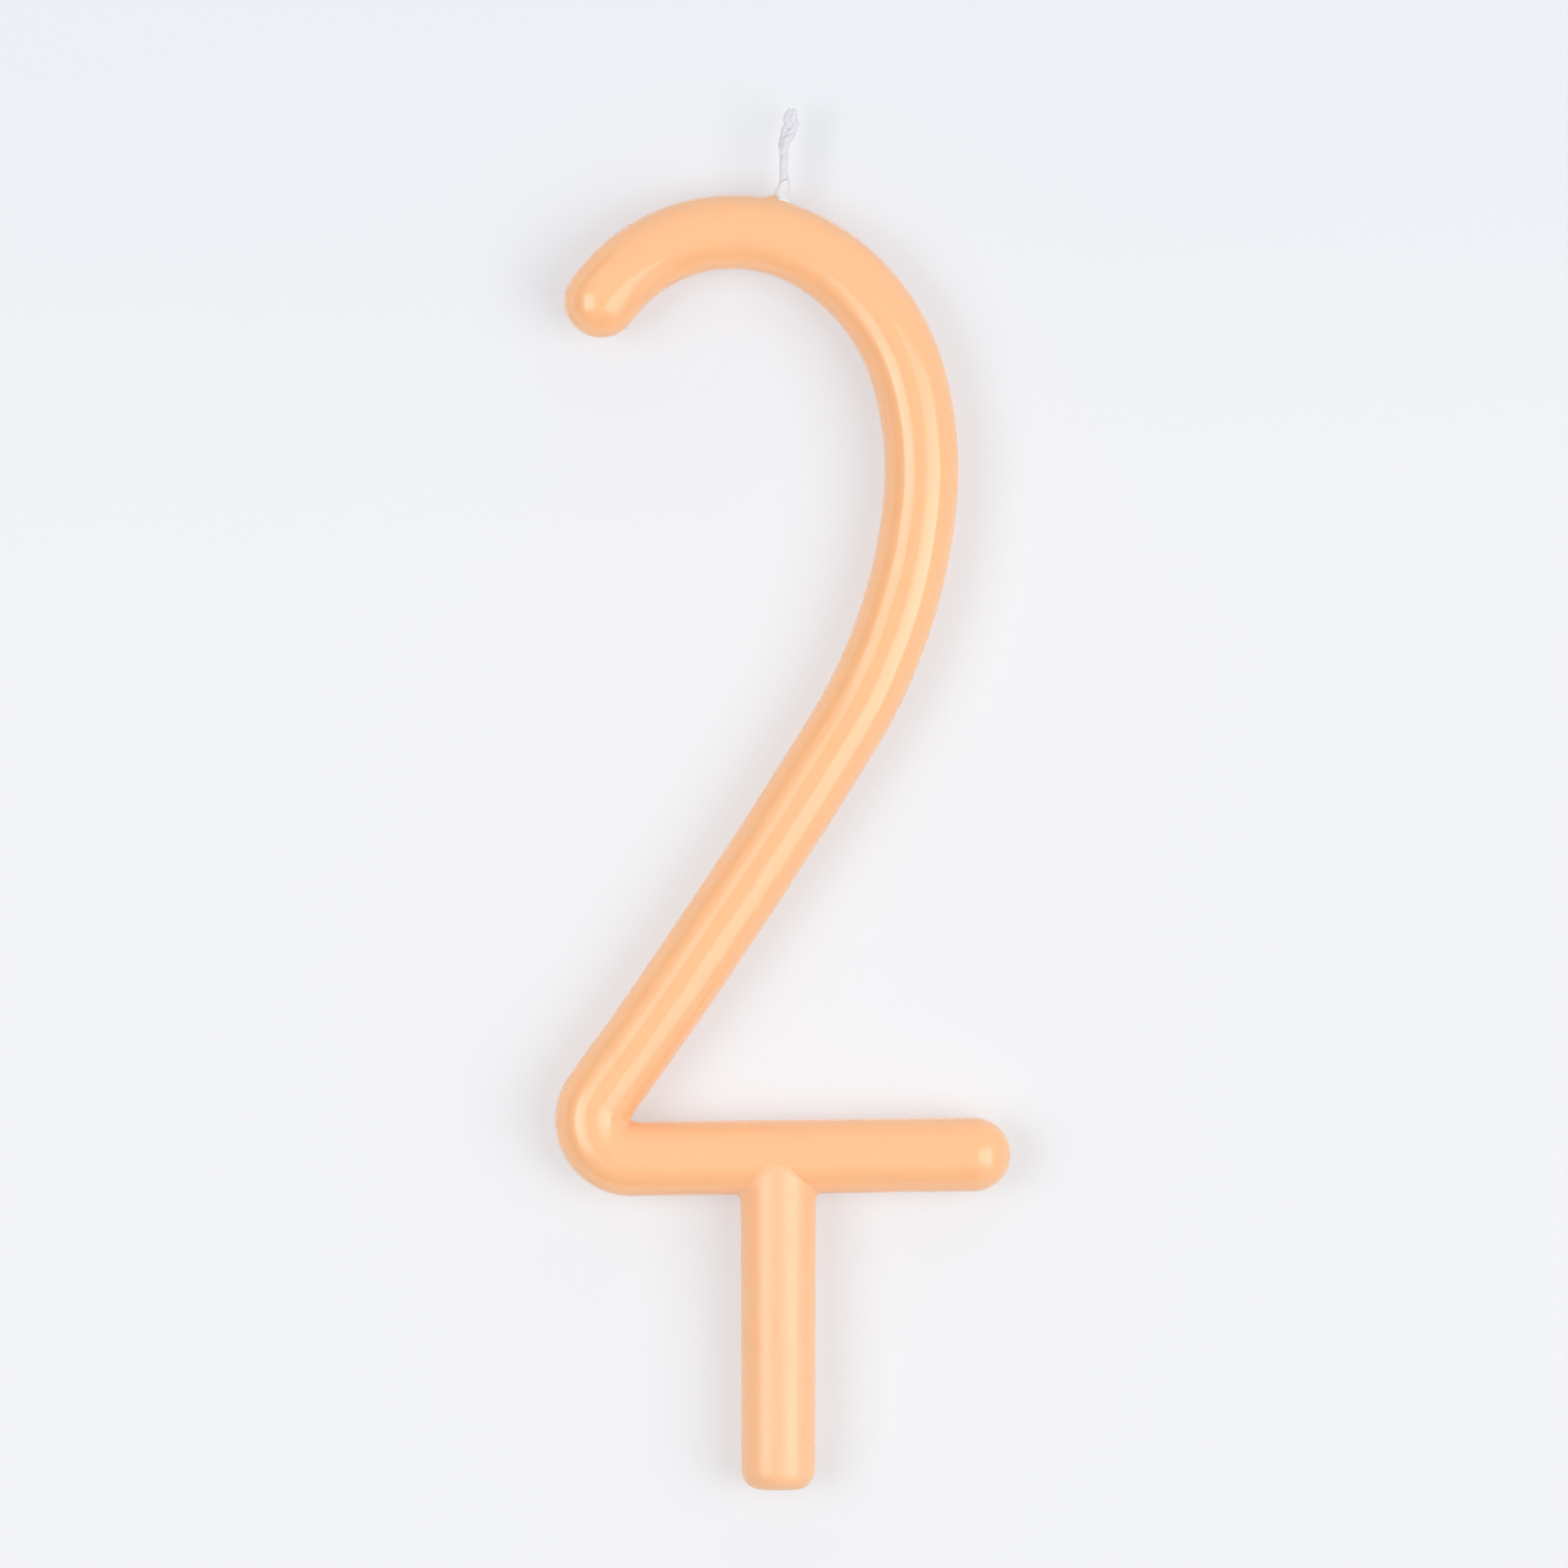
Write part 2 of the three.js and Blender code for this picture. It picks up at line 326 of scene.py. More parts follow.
# %% The stem's sizes
STEM_AROUND = 96
stem_turns = np.linspace(0, 2 * math.pi, STEM_AROUND, endpoint=False)
cosine, sine = np.cos(stem_turns), np.sin(stem_turns)
TIP_FLAT, TIP_WIDE, TIP_ROUNDING = 2.0, 3.93, 2.1  # the tip's flat, its full radius, its rounded edge
WELD = 0.6  # the fillet's radius at the sides
WELD_LEAST = 0.35  # the least share of it, in front and behind
tip_profile = [(r, 0.0) for r in (0.5, 1.0, 1.5)]
for theta in np.linspace(0, math.pi / 2, 11):
    out_to = TIP_FLAT + (TIP_WIDE - TIP_FLAT) * math.sin(theta)
    tip_profile.append((out_to, TIP_ROUNDING * (1 - math.cos(theta))))


def stem_radius(z):
    """The stem's radius across the front, which grows a little towards its top."""
    return 3.96 + 0.09 * np.clip((z - 2) / 28, 0, 1) ** 1.4


def stem_depth(z):
    """The stem's radius from front to back."""
    return 3.96 - 0.03 * np.clip((z - 20) / 12, 0, 1)


def foot_axis(x):
    """The height of the foot's centreline, which climbs a little to the right."""
    return FOOT_HEIGHT + x * math.tan(FOOT_CLIMB)


def stem_fillet(y):
    """The fillet's radius in mm at a depth y, which shrinks towards the front and the back."""
    return WELD * np.clip(1 - (y / ROD) ** 2, WELD_LEAST, 1)


def stem_field(points):
    """The distance to the stem and the foot together."""
    x, y, z = points[..., 0], points[..., 1], points[..., 2]
    wide, deep = stem_radius(z), stem_depth(z)
    stem = (np.hypot(x / wide, y / deep) - 1) * (wide + deep) / 2
    foot = np.hypot(y, (z - foot_axis(x)) * math.cos(FOOT_CLIMB)) - ROD
    return round_blend(stem, foot, stem_fillet(y))


print("stem's radius at the tip and the top, mm:", TIP_WIDE, round(float(stem_radius(STEM_LENGTH)), 2))

# %% The stem's rings
CREASE_HIGH = 31.0  # about where the stem's sides meet the foot
SETTLED_FROM = 29.0  # height from which the fillet can reach a point of the stem
stem_rings = []
for r, z in tip_profile:
    stem_rings.append(np.stack([r * cosine, r * sine * 0.995, np.full(STEM_AROUND, z)], axis=-1))
wide, deep = stem_radius(CREASE_HIGH), stem_depth(CREASE_HIGH)
crease = foot_axis(wide * cosine) - np.sqrt(ROD**2 - np.minimum(deep * sine, ROD - 1e-3) ** 2)
sides = np.concatenate([np.linspace(0.0, 0.9, 60), np.linspace(0.9, 1.0, 22)[1:]])
for share in sides[1:]:
    z = TIP_ROUNDING + (crease - TIP_ROUNDING) * share
    stem_rings.append(np.stack([stem_radius(z) * cosine, stem_depth(z) * sine, z], axis=-1))
side_x, side_y = stem_radius(crease) * cosine, stem_depth(crease) * sine
far_x = np.sqrt((stem_radius(crease) + stem_fillet(side_y)) ** 2 - side_y**2) * np.sign(cosine)
for share in np.linspace(0, 1, 13)[1:]:
    reach = 1.08 * share * (far_x - side_x) * np.clip(np.abs(cosine) / 0.05, 0, 1)
    stem_rings.append(np.stack([side_x + reach, side_y, crease + reach * math.tan(FOOT_CLIMB)], axis=-1))
stem_rings = np.array(stem_rings)
upper = stem_rings[:, :, 2] > SETTLED_FROM
stem_rings[upper] = settle(stem_rings[upper], stem_field)
print("stem's points settled on the weld:", int(upper.sum()))

# %% The stem's hidden end
# The last rings sink into the foot, out of sight, and three more close the end inside it.
for k, sink in ((-3, 0.005), (-2, 0.02), (-1, 0.05)):
    ring = stem_rings[k]
    up = np.stack([np.zeros(STEM_AROUND), -ring[:, 1], foot_axis(ring[:, 0]) - ring[:, 2]], axis=-1)
    stem_rings[k] = ring + up / np.linalg.norm(up, axis=-1, keepdims=True) * sink
hidden = []
for inset, lift in ((0.93, 0.5), (0.7, 1.0), (0.35, 1.4)):
    ring = stem_rings[-1] * (inset, inset, 1)
    ring[:, 2] = np.minimum(ring[:, 2] + lift, foot_axis(0) - 0.3)
    hidden.append(ring)
stem_rings = np.concatenate([stem_rings, hidden])
stem = skin("stem_wax", stem_rings[:, ::-1], (0, 0, 0), (0, 0, foot_axis(0) - 1.0))
print("stem, mm3:", round(volume(stem), 1))

# %% [markdown]
# ## The wick
# A candle's wick is cotton yarn braided flat from three strands. A texture on a flat ribbon would look
# painted, so each strand is a tube of its own that swings from side to side, over one neighbour and
# under the next: one wave across the braid, and a wave of twice the rate through its thickness. The
# braid runs down the rod's axis, bends up at the crown and comes out edge-on, then turns its broad
# side to the front as it leans. It has been dipped in wax, which glues the strands and fills the gaps
# between them, so the tubes run into each other and the twist of their yarn hardly stands out.

# %% The wick's route
WICK_WIDE, WICK_THICK = 1.8, 1.0
BURIED = 62.0  # length on the rod's axis
ALONG_HOOK = 1.3  # how far into the hook it leaves the axis
TURN_UP = 3.0  # radius of its bend from the axis to the vertical
UPRIGHT, LEAN, LEAN_RADIUS, TIP = 5.75, 30.0, 2.8, 0.95  # above the crown, in mm and degrees
leave = hook_from + ALONG_HOOK
wick_start = walk(figure_start, figure_legs, leave - BURIED)[:, 0]
wick_legs = []
for (length, turn), begins in zip(figure_legs, figure_ends):
    low, high = max(leave - BURIED, begins), min(leave, begins + length)
    if high > low:
        wick_legs.append((high - low, turn * (high - low) / length))
heading = walk(figure_start, figure_legs, leave)[2, 0]
wick_legs.append(arc(TURN_UP, 90 - math.degrees(heading)))
below = walk(wick_start, wick_legs, sum(length for length, _ in wick_legs))[:, 0]
exit_z = hook_middle[1] + math.sqrt((HOOK + ROD) ** 2 - (below[0] - hook_middle[0]) ** 2)
wick_legs.append((exit_z - below[1] + UPRIGHT, 0.0))
wick_legs += [arc(LEAN_RADIUS, -LEAN), arc(LEAN_RADIUS, LEAN), (TIP, 0.0)]
wick_length = sum(length for length, _ in wick_legs)
lean_to = wick_length - TIP
lean_from = lean_to - 2 * LEAN_RADIUS * math.radians(LEAN)
print("wick, mm:", round(wick_length, 1), "leaves the crown at x", round(float(below[0]), 2))

# %% The braid
STRAND = 0.42  # a strand's radius
PITCH = 4.2  # one turn of the braid
YARN_TWIST = 1.6  # one turn of a strand's three plies
PLY_RELIEF = 0.05  # share of the strand's radius
TIP_ROUND = 0.47  # the tip is rounded past the end of the line
along = np.linspace(0, wick_length + TIP_ROUND, int(wick_length / 0.12))
line_x, line_z, line_heading = walk(wick_start, wick_legs, along)
share = np.clip((along - (lean_from - WICK_WIDE / 2)) / (lean_to - lean_from + WICK_WIDE / 2), 0, 1)
turned = math.pi / 2 * share * share * (3 - 2 * share)
to_tip = wick_length + TIP_ROUND - along
narrow = 1 - 0.45 * np.clip(1 - to_tip / 2.0, 0, 1) ** 2
strand_around = np.linspace(0, 2 * math.pi, 18, endpoint=False)
braid = []
for k in range(3):
    phase = 2 * math.pi * (along / PITCH + k / 3)
    across = (WICK_WIDE / 2 - STRAND) * np.sin(phase) * narrow
    through = (WICK_THICK / 2 - STRAND) * np.sin(2 * phase)
    # The braid's broad side faces along Y until it turns.
    in_plane = through * np.cos(turned) + across * np.sin(turned)
    sideways = across * np.cos(turned) - through * np.sin(turned)
    centre_x = line_x - in_plane * np.sin(line_heading)
    centre_z = line_z + in_plane * np.cos(line_heading)
    centre = np.stack([centre_x, sideways, centre_z], axis=-1)
    tangent = np.gradient(centre, axis=0)
    tangent /= np.linalg.norm(tangent, axis=-1, keepdims=True)
    side = np.cross(tangent, (0.0, 1.0, 0.0))
    side /= np.linalg.norm(side, axis=-1, keepdims=True)
    third = np.cross(tangent, side)
    close = np.clip(to_tip / 0.5, 0.02, 1) ** 0.5 * narrow**0.3
    twist = 2 * math.pi * along / YARN_TWIST
    plies = 1 + PLY_RELIEF * np.cos(3 * (strand_around[None, :] - twist[:, None]))
    r = STRAND * close[:, None] * plies
    ring = centre[:, None, :] + r[..., None] * (
        np.cos(strand_around)[None, :, None] * side[:, None, :]
        + np.sin(strand_around)[None, :, None] * third[:, None, :]
    )
    braid.append(skin(f"wick_strand_{k}", ring, centre[0], centre[-1]))
with bpy.context.temp_override(active_object=braid[0], selected_editable_objects=braid):
    bpy.ops.object.join()
wick = braid[0]
wick.name = "wick_braid"
wick.data.name = "wick_braid"
print("braid points:", len(wick.data.vertices))

# %% [markdown]
# ## The seal
# The wick is dipped before the rod is cast round it, and the white wax of the dip stays as a small skirt
# round its foot. It stands like a drop of water at a straw: steep at the wick, flat at the rod.

# %% The seal's rings
SEAL_LOW, SEAL_HIGH = crown_z + 0.05, crown_z + 2.15
seal_turns = np.linspace(0, 2 * math.pi, 64, endpoint=False)
seal_rings = []
for share in np.linspace(0, 1, 18):
    skirt = 0.56 + 0.06 * (1 - share) + 0.46 * (1 - share) ** 3
    bulge = 0.40 * math.exp(-(((share - 0.45) / 0.36) ** 4)) * np.clip(-np.cos(seal_turns), 0, 1) ** 1.5
    skirt = np.maximum(skirt, skirt * 0.5 + 0.3 + bulge)
    lobes = 1 + 0.05 * np.sin(2 * seal_turns + 1.0 + share) + 0.04 * np.sin(3 * seal_turns + 2.2)
    x = skirt * lobes * np.cos(seal_turns)
    y = (skirt + 0.4) * lobes * np.sin(seal_turns)
    lean = -0.10 * (1 - share) * np.cos(seal_turns)
    # The skirt reaches further down on the right, where the crown falls away.
    z = SEAL_LOW + (SEAL_HIGH - SEAL_LOW) * (share + 0.10 * share * np.cos(seal_turns + 0.6)) + lean
    z = z - 0.35 * np.maximum(x, 0) * (1 - share)
    seal_rings.append(np.stack([x + WICK_X, y, z], axis=-1))
seal = skin("wick_seal_wax", seal_rings, (WICK_X, 0, SEAL_LOW - 0.3), (WICK_X, 0, SEAL_HIGH - 0.2))
print("seal, mm3:", round(volume(seal), 2))

# %% [markdown]
# ## Colours and nodes
# Colours are written as the sRGB hex values that a picture shows, and one function turns them into the
# linear values that the renderer works with. One more function adds a node. No real surface has only
# one colour, so every finish starts from two close tones in soft patches.


# %% Colour and node helpers
def linear(code):
    """An sRGB hex colour as linear red, green, blue and alpha."""
    values = [int(code[i : i + 2], 16) / 255 for i in (1, 3, 5)]
    return [v / 12.92 if v <= 0.04045 else ((v + 0.055) / 1.055) ** 2.4 for v in values] + [1.0]


def add(tree, kind, inputs=None, **settings):
    """Adds a node: settings are its own properties, and inputs are values or other nodes' outputs."""
    made = tree.nodes.new(kind)
    for name, value in settings.items():
        setattr(made, name, value)
    for name, value in (inputs or {}).items():
        if isinstance(value, bpy.types.NodeSocket):
            tree.links.new(value, made.inputs[name])
        else:
            made.inputs[name].default_value = value
    return made


print("middle grey is", round(linear("#808080")[0], 3), "in linear light")


# %% Material helpers
def new_material(name):
    """A material with an empty node tree, the tree, and the mesh's own coordinates in metres."""
    material = bpy.data.materials.new(name)
    material.use_nodes = True
    tree = material.node_tree
    tree.nodes.clear()
    return material, tree, add(tree, "ShaderNodeTexCoord").outputs["Object"]


def two_tones(tree, place, size, detail, deeper, paler, roughness=0.5):
    """Two colours mixed in patches about size metres wide: the colour, and the patches as 0 to 1."""
    patches = add(
        tree,
        "ShaderNodeTexNoise",
        {"Vector": place, "Scale": 1 / size, "Detail": detail, "Roughness": roughness},
    ).outputs["Fac"]
    mix = add(
        tree,
        "ShaderNodeMix",
        {"Factor": patches, "A": linear(deeper), "B": linear(paler)},
        data_type="RGBA",
    )
    return [socket for socket in mix.outputs if socket.type == "RGBA"][0], patches


# %% [markdown]
# ## Peach paraffin wax
# Paraffin is a soft, cloudy solid, and this one is densely dyed: light comes out of it again within a
# tenth of a millimetre, which softens fine shading but lets nothing shine through. The figure is left
# as it was cast, smooth, with a thin skin that is glossier still, and a coat stands for that skin. The
# stem is handled and pushed into cakes, so its wax is matt and what is left of its polish is hazy. Its
# tones are a shade paler than the figure's, which is a painted highlight that stands for the broad
# sheen on its front. The IOR is 1.43. The dye isn't mixed perfectly, which gives a faint cloudiness
# about 6 mm across, and the skin has a faint orange peel about 1 mm across on waves of 5 mm.

# %% Peach wax
def peach_wax(name, deeper, paler, smoothest, roughest, polish, haze):
    """Peach wax of two tones and two roughnesses. A share of it, polish, has a skin as rough as haze."""
    wax, tree, place = new_material(name)
    tone, cloud = two_tones(tree, place, 0.006, 3.0, deeper, paler)
    peel = add(tree, "ShaderNodeTexNoise", {"Vector": place, "Scale": 1 / 0.001, "Detail": 2.0})
    wave = add(tree, "ShaderNodeTexNoise", {"Vector": place, "Scale": 1 / 0.005, "Detail": 1.0})
    peel_bump = add(
        tree, "ShaderNodeBump", {"Height": peel.outputs["Fac"], "Strength": 0.5, "Distance": 0.000010}
    )
    wave_bump = add(
        tree,
        "ShaderNodeBump",
        {
            "Height": wave.outputs["Fac"],
            "Strength": 0.5,
            "Distance": 0.00005,
            "Normal": peel_bump.outputs["Normal"],
        },
    )
    gloss = add(
        tree,
        "ShaderNodeMapRange",
        {"Value": cloud, "To Min": smoothest, "To Max": roughest},
    )
    shader = add(
        tree,
        "ShaderNodeBsdfPrincipled",
        {
            "Base Color": tone,
            "Roughness": gloss.outputs["Result"],
            "IOR": 1.43,
            "Normal": wave_bump.outputs["Normal"],
            "Subsurface Weight": 1.0,
            "Subsurface Radius": (1.0, 0.8, 0.65),
            "Subsurface Scale": 0.00006,
            "Coat Weight": polish,
            "Coat Roughness": haze,
            "Coat IOR": 1.43,
        },
        subsurface_method="RANDOM_WALK",
    )
    add(tree, "ShaderNodeOutputMaterial", {"Surface": shader.outputs["BSDF"]})
    return wax


figure_wax = peach_wax("peach_paraffin_wax_cast", "#ffbe8d", "#ffc091", 0.10, 0.14, 0.25, 0.07)
# The stem's tones are a shade paler than the figure's: a painted highlight for the broad sheen on its front.
stem_wax = peach_wax("peach_paraffin_wax_handled_painted_paler", "#ffc092", "#ffc296", 0.42, 0.48, 0.38, 0.2)
print("waxes:", figure_wax.name, "and", stem_wax.name)

# %% [markdown]
# ## Braided cotton and white wax
# The cotton is matt with a little sheen from loose fibres. They are far too fine to show, so they are
# drawn as patches 0.15 mm wide under a film of wax, and the plies of the yarn are in the mesh. Light
# goes only a twentieth of a millimetre into it here: deeper scattering draws a dark line wherever two
# strands run into each other. The skirt is the same paraffin as the rod without its dye, so light goes
# half a millimetre into it.

# %% Cotton
cotton, tree, place = new_material("cotton_braid_waxed")
tone, fibre = two_tones(tree, place, 0.00015, 3.0, "#d2d2d8", "#dcdce1", roughness=0.6)
bump = add(tree, "ShaderNodeBump", {"Height": fibre, "Strength": 0.25, "Distance": 0.00004})
shader = add(
    tree,
    "ShaderNodeBsdfPrincipled",
    {
        "Base Color": tone,
        "Roughness": 0.8,
        "IOR": 1.5,
        "Normal": bump.outputs["Normal"],
        "Sheen Weight": 0.3,
        "Sheen Roughness": 0.5,
        "Subsurface Weight": 1.0,
        "Subsurface Radius": (1.0, 1.0, 1.0),
        "Subsurface Scale": 0.00005,
    },
    subsurface_method="RANDOM_WALK",
)
add(tree, "ShaderNodeOutputMaterial", {"Surface": shader.outputs["BSDF"]})
print("cotton:", len(tree.nodes), "nodes")

# %% White wax
white_wax, tree, place = new_material("white_paraffin_wax_dipped")
tone, lump = two_tones(tree, place, 0.0006, 2.0, "#d6d4d5", "#dedcdd")
bump = add(tree, "ShaderNodeBump", {"Height": lump, "Strength": 0.4, "Distance": 0.00004})
shader = add(
    tree,
    "ShaderNodeBsdfPrincipled",
    {
        "Base Color": tone,
        "Roughness": 0.35,
        "IOR": 1.43,
        "Normal": bump.outputs["Normal"],
        "Subsurface Weight": 1.0,
        "Subsurface Radius": (1.0, 0.8, 0.6),
        "Subsurface Scale": 0.0005,
    },
    subsurface_method="RANDOM_WALK",
)
add(tree, "ShaderNodeOutputMaterial", {"Surface": shader.outputs["BSDF"]})
print("white wax:", len(tree.nodes), "nodes")

# %% [markdown]
# ## Putting the pieces in the frame
# Each mesh stands for its CAD node, which is hidden, gets its own finish, and rides on the candle's one
# body. Each row also names the node's slot in the record, which the loop doesn't read.

# %% Finish and frame
for piece, material, node, slot in (
    (digit, figure_wax, "digit", "peach_wax"),
    (stem, stem_wax, "stem", "peach_wax"),
    (wick, cotton, "wick", "cotton_wick"),
    (seal, white_wax, "wick_seal", "white_wax"),
):
    piece.data.materials.clear()
    piece.data.materials.append(material)
    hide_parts(node)
    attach(piece, "root")
    print(piece.name, "stands for", node)

# %% [markdown]
# ## The sheet under the candle
# The candle lies on a smooth white sheet and is seen from straight above it, so in this frame the sheet
# stands just behind the candle and takes its shadow. Half of what the camera and the reflections see of
# it is its own brightness, even across the sheet but painted greyer towards its top, which is painted
# shade for light that falls off there. The other half is lit paper.
# Seen from behind, the sheet isn't there: its material lets a camera ray through where the ray meets
# the sheet's back. It also lets shadow rays through, so that a lamp behind it lights the candle's back.


# %% Stage helpers
def plane(name, corners, material):
    """A stage plane from four corners in metres."""
    mesh = bpy.data.meshes.new(name)
    mesh.from_pydata(corners, [], [(0, 1, 2, 3)])
    mesh.materials.append(material)
    made = bpy.data.objects.new(name, mesh)
    bpy.context.scene.collection.objects.link(made)
    return made


def seen_directly(tree):
    """The Light Path node, and an output that is 1 for rays of the camera, a mirror or glass, else 0."""
    path = add(tree, "ShaderNodeLightPath")
    mirror = add(
        tree,
        "ShaderNodeMath",
        {0: path.outputs["Is Glossy Ray"], 1: path.outputs["Is Transmission Ray"]},
        operation="MAXIMUM",
    )
    direct = add(
        tree,
        "ShaderNodeMath",
        {0: path.outputs["Is Camera Ray"], 1: mirror.outputs["Value"]},
        operation="MAXIMUM",
    )
    return path, direct.outputs["Value"]


# %% The sheet's paper
# Between these heights the sheet's own brightness turns greyer: painted shade for light falling off towards
# its top.
GREYER_FROM, GREYER_TO = 0.09, 0.155  # heights in metres
paper, tree, place = new_material("matt_white_sheet")
tone, _ = two_tones(tree, place, 0.09, 1.0, "#e6e8eb", "#e8eaed")
matt = add(tree, "ShaderNodeBsdfDiffuse", {"Color": tone, "Roughness": 0.0})
height = add(tree, "ShaderNodeSeparateXYZ", {"Vector": place}).outputs["Z"]
rise = add(
    tree,
    "ShaderNodeMapRange",
    {"Value": height, "From Min": GREYER_FROM, "From Max": GREYER_TO},
    interpolation_type="SMOOTHSTEP",
)
glow_tone_painted_falloff = add(
    tree,
    "ShaderNodeMix",
    {"Factor": rise.outputs["Result"], "A": linear("#eaeaec"), "B": linear("#dee2e8")},
    data_type="RGBA",
)
glow_colour = [socket for socket in glow_tone_painted_falloff.outputs if socket.type == "RGBA"][0]
glow = add(tree, "ShaderNodeEmission", {"Color": glow_colour, "Strength": 1.0})
print("the sheet grows greyer over", round(1000 * (GREYER_TO - GREYER_FROM)), "mm")

# %% What passes through the sheet
OWN_SHARE = 0.5  # of what is seen directly is its own brightness
path, direct = seen_directly(tree)
share = add(tree, "ShaderNodeMath", {0: direct, 1: OWN_SHARE}, operation="MULTIPLY")
lit = add(
    tree,
    "ShaderNodeMixShader",
    {0: share.outputs["Value"], 1: matt.outputs["BSDF"], 2: glow.outputs["Emission"]},
)
seen_behind = add(
    tree,
    "ShaderNodeMath",
    {0: path.outputs["Is Camera Ray"], 1: add(tree, "ShaderNodeNewGeometry").outputs["Backfacing"]},
    operation="MULTIPLY",
)
clear = add(tree, "ShaderNodeBsdfTransparent")
open_to = add(
    tree,
    "ShaderNodeMath",
    {0: seen_behind.outputs["Value"], 1: path.outputs["Is Shadow Ray"]},
    operation="MAXIMUM",
)
both = add(
    tree,
    "ShaderNodeMixShader",
    {0: open_to.outputs["Value"], 1: lit.outputs["Shader"], 2: clear.outputs["BSDF"]},
)
add(tree, "ShaderNodeOutputMaterial", {"Surface": both.outputs["Shader"]})
print("paper:", len(tree.nodes), "nodes")

# %% The sheet
SHEET_Y, HALF = 0.0041, 2.5  # metres: just behind the candle, and half of the sheet's side
floor = plane(
    "floor_sheet",
    [(-HALF, SHEET_Y, -HALF), (HALF, SHEET_Y, -HALF), (HALF, SHEET_Y, HALF), (-HALF, SHEET_Y, HALF)],
    paper,
)
print("the sheet faces y", floor.data.polygons[0].normal.y)

# %% [markdown]
# ## Light
# Two soft boxes stand left and right of the candle, which is what draws the two long highlights on
# every upright length of rod and none on the foot. A lamp's power follows from how bright its face is
# to look like, and from its area. Each box is graded: brighter on the side away from the camera, and
# dimmer towards its top and bottom, which gives each highlight one soft side and makes the slanting
# rod's weaker. A weak light from above stands in for the ceiling, and a lamp behind the sheet lights
# the candle's back. A bright area lamp is simpler than a glowing plane and makes less noise.


# %% A graded lamp
CENTRE = Vector((0, 0, 0.075))  # the candle's middle in metres
IN_THE_MIDDLE, AT_THE_ENDS = 1.3, 0.62  # a graded lamp's brightness at half its height, and above and below


def softbox(name, azimuth, elevation, distance, wide, high, brightness, inner=1.0):
    """A rectangular lamp that faces the candle, in degrees and metres. Azimuth 0 is in front, 90 right.

    Where inner isn't 1, the lamp is graded, and its side towards the camera has only that share.
    """
    a, e = math.radians(azimuth), math.radians(elevation)
    away = Vector((math.sin(a) * math.cos(e), -math.cos(a) * math.cos(e), math.sin(e)))
    lamp = bpy.data.lights.new(name, "AREA")
    lamp.shape = "RECTANGLE"
    lamp.size, lamp.size_y = wide, high
    lamp.energy = brightness * math.pi * wide * high
    if inner != 1.0:
        lamp.use_nodes = True
        tree = lamp.node_tree
        tree.nodes.clear()
        place = add(tree, "ShaderNodeNewGeometry").outputs["Parametric"]
        place = add(tree, "ShaderNodeSeparateXYZ", {"Vector": place})
        first, last = (inner, 1.0) if azimuth > 0 else (1.0, inner)
        falloff = add(
            tree, "ShaderNodeMapRange", {"Value": place.outputs["X"], "To Min": first, "To Max": last}
        )
        middle = add(tree, "ShaderNodeMath", {0: place.outputs["Y"], 1: 0.5}, operation="SUBTRACT")
        middle = add(tree, "ShaderNodeMath", {0: middle.outputs["Value"]}, operation="ABSOLUTE")
        fade = add(
            tree,
            "ShaderNodeMapRange",
            {
                "Value": middle.outputs["Value"],
                "From Max": 0.5,
                "To Min": IN_THE_MIDDLE,
                "To Max": AT_THE_ENDS,
            },
            interpolation_type="SMOOTHSTEP",
        )
        strength = add(
            tree,
            "ShaderNodeMath",
            {0: falloff.outputs["Result"], 1: fade.outputs["Result"]},
            operation="MULTIPLY",
        )
        light = add(tree, "ShaderNodeEmission", {"Strength": strength.outputs["Value"]})
        add(tree, "ShaderNodeOutputLight", {"Surface": light.outputs["Emission"]})
    made = bpy.data.objects.new(name, lamp)
    made.location = CENTRE + away * distance
    made.rotation_euler = away.to_track_quat("Z", "Y").to_euler()
    made.visible_camera = False
    bpy.context.scene.collection.objects.link(made)
    return made


# %% Lamps
softbox("softbox_right", 38.5, -8, 1.0, 0.79, 0.98, 4.0, inner=0.5)
softbox("softbox_left", -36.5, -3, 1.0, 0.57, 0.90, 4.2, inner=0.55)
ceiling = softbox("ceiling_bounce", 0, 62, 1.2, 1.6, 0.9, 0.72)
ceiling.visible_glossy = False
softbox("softbox_behind", 180, 14, 1.2, 0.8, 0.9, 2.2)
print("lamps:", len(bpy.data.lights))

# %% [markdown]
# ## Black cards
# Photographers put black cards beside a pale, glossy object, because its edges would melt into a pale
# background without them. One stands at the left here and one lies below, and the wax mirrors them,
# which deepens the orange of its left and lower sides. Only reflections show them. Each fades in
# towards the sheet, because a card's crisp edge would draw a line along the rod.


# %% Black cards
def card(name, corners, begins, full):
    """A black card in metres that only reflections show. It fades in from y = begins to y = full."""
    black, tree, place = new_material("black_felt_" + name)
    tone, _ = two_tones(tree, place, 0.002, 2.0, "#101010", "#181818")
    matt = add(tree, "ShaderNodeBsdfDiffuse", {"Color": tone})
    clear = add(tree, "ShaderNodeBsdfTransparent")
    depth = add(tree, "ShaderNodeSeparateXYZ", {"Vector": place}).outputs["Y"]
    fade = add(
        tree,
        "ShaderNodeMapRange",
        {"Value": depth, "From Min": begins, "From Max": full},
        interpolation_type="SMOOTHSTEP",
    )
    both = add(
        tree,
        "ShaderNodeMixShader",
        {0: fade.outputs["Result"], 1: clear.outputs["BSDF"], 2: matt.outputs["BSDF"]},
    )
    add(tree, "ShaderNodeOutputMaterial", {"Surface": both.outputs["Shader"]})
    made = plane(name, corners, black)
    made.visible_camera = made.visible_diffuse = made.visible_shadow = made.visible_transmission = False
    print(name, "fades in from", begins, "to", full)


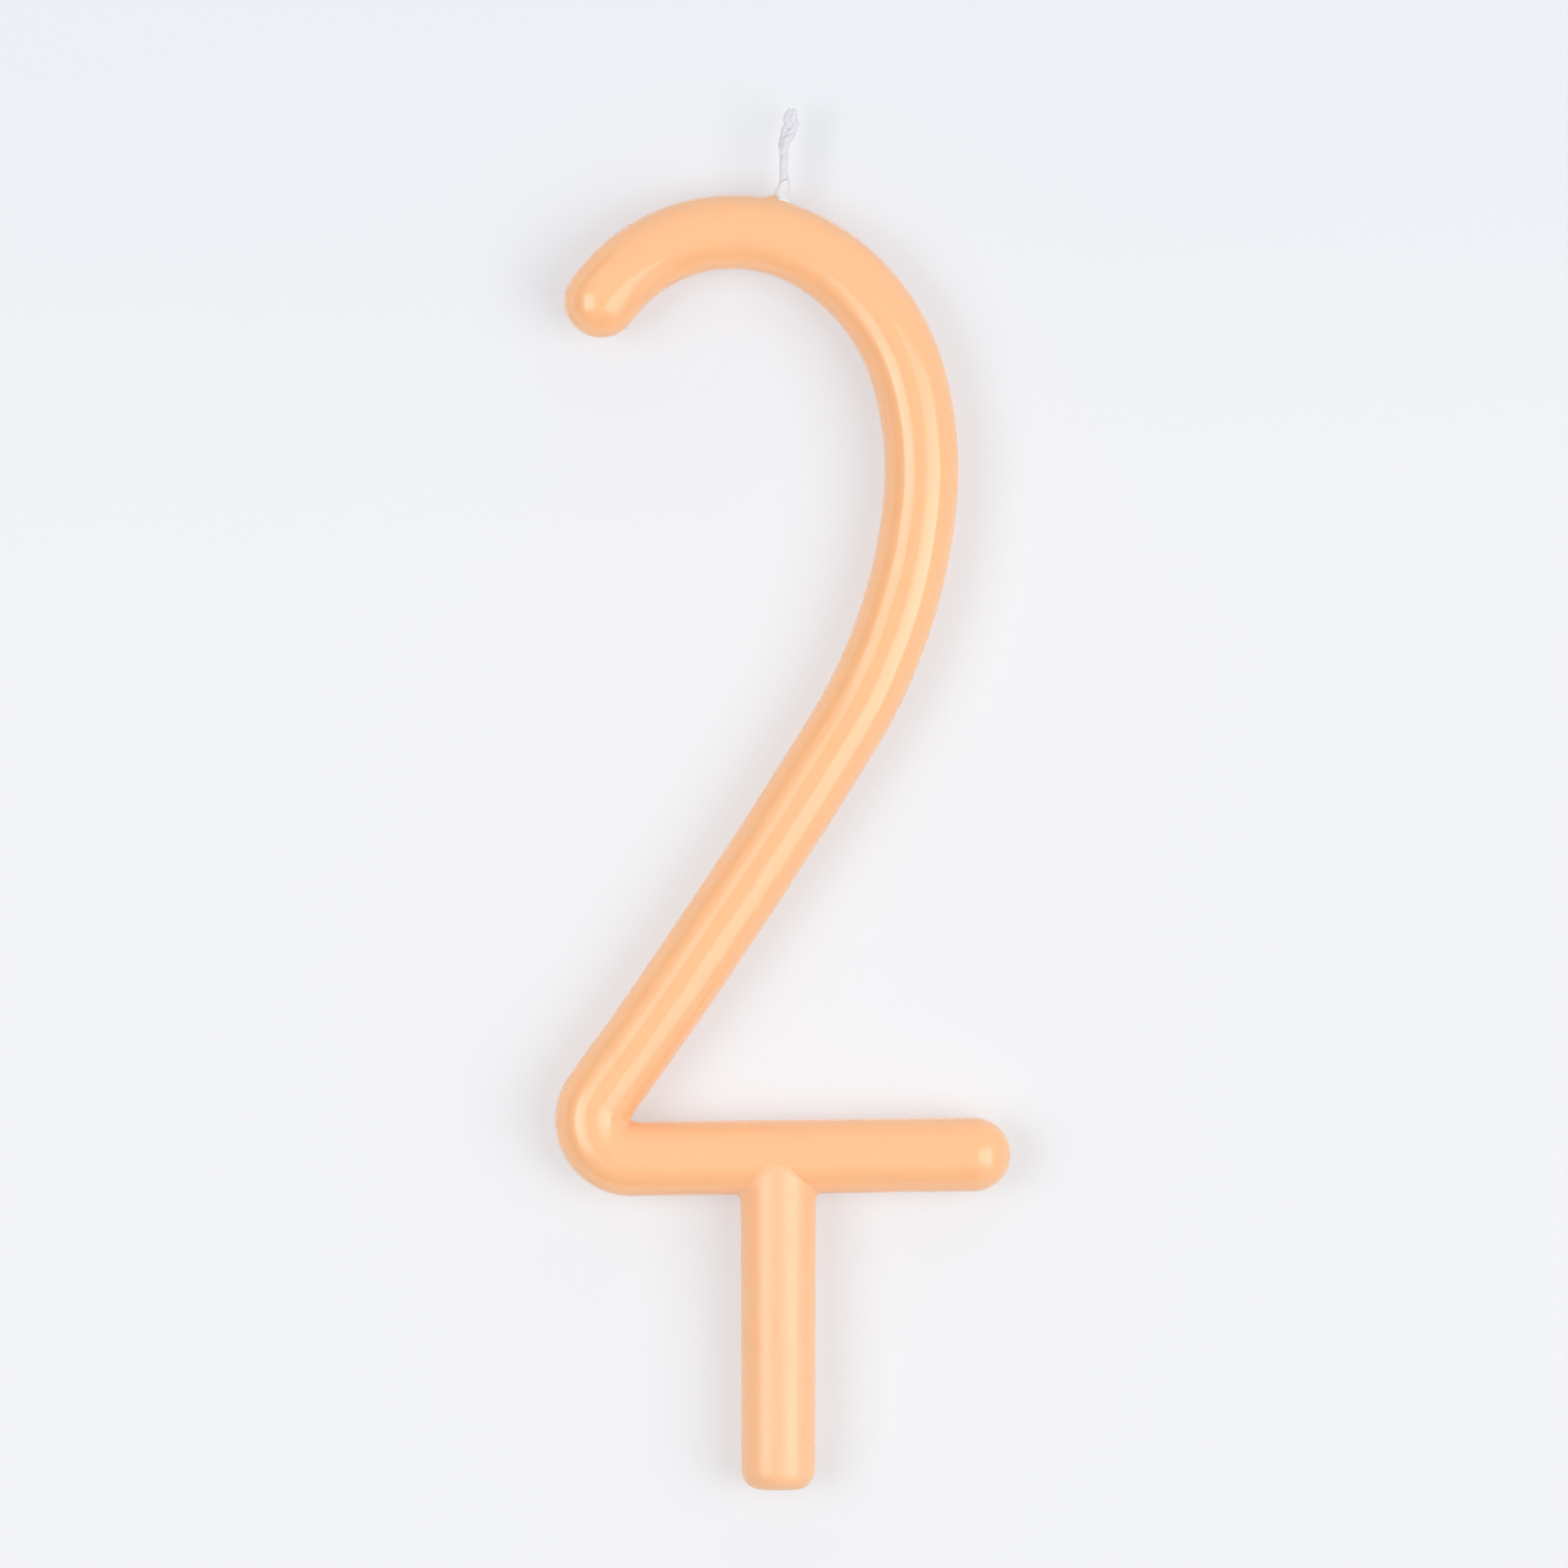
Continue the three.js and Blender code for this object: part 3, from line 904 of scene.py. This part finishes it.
BY_SHEET = 0.003  # y in metres, where the cards end
left_card = [(-1.2, -0.9, -1.3), (-1.2, BY_SHEET, -1.3), (-1.2, BY_SHEET, 1.5), (-1.2, -0.9, 1.5)]
lower_card = [(-1.2, -1.8, -1.1), (0.6, -1.8, -1.1), (0.6, BY_SHEET, -1.1), (-1.2, BY_SHEET, -1.1)]
card("card_left", left_card, -0.85, -0.55)
card("card_below", lower_card, -1.8, -0.7)

# %% [markdown]
# ## The room
# A low, even light comes from all sides, as in a white studio. Where the camera, a mirror or glass looks
# at it the room is pale instead, so the views from the sides and from behind have the same pale
# background and the light on the candle stays as it is.

# %% The world
IN_THE_ROOM, SEEN = 0.40, 1.0  # how bright it is as light, and as a background
PALE = "#f2f2f6"
world = bpy.data.worlds.new("pale_room")
bpy.context.scene.world = world
world.use_nodes = True
tree = world.node_tree
tree.nodes.clear()
_, direct = seen_directly(tree)
room = add(tree, "ShaderNodeBackground", {"Color": linear(PALE), "Strength": IN_THE_ROOM})
seen = add(tree, "ShaderNodeBackground", {"Color": linear(PALE), "Strength": SEEN})
both = add(
    tree,
    "ShaderNodeMixShader",
    {0: direct, 1: room.outputs["Background"], 2: seen.outputs["Background"]},
)
add(tree, "ShaderNodeOutputWorld", {"Surface": both.outputs["Shader"]})
print("world:", world.name)

# %% [markdown]
# ## The camera
# The photograph is square and taken straight on. At the candle, 11.5 of its 1932 pixels are one
# millimetre, so the frame is 168 mm wide. A 300 mm lens, 1.4 m away, keeps the rods as straight on as
# they are there: with a short lens their ends would lean away.

# %% Camera
PIXELS, PIXELS_PER_MM = 1932, 11.5
ORIGIN_ACROSS, ORIGIN_DOWN = 959, 1835  # the pixel of the stem's tip
LENS, SENSOR = 300.0, 36.0
camera = bpy.data.cameras.new("camera")
camera.lens = LENS
camera.sensor_width = SENSOR
to_metres = MM / PIXELS_PER_MM
reach = PIXELS * to_metres * LENS / SENSOR
camera_object = bpy.data.objects.new("camera", camera)
camera_object.location = (
    (PIXELS / 2 - ORIGIN_ACROSS) * to_metres,
    -reach,
    (ORIGIN_DOWN - PIXELS / 2) * to_metres,
)
camera_object.rotation_euler = (math.pi / 2, 0, 0)
camera.clip_end = 20.0
bpy.context.scene.collection.objects.link(camera_object)
bpy.context.scene.camera = camera_object
bpy.context.scene.view_settings.view_transform = "Standard"
print("camera", round(reach * 1000), "mm away")
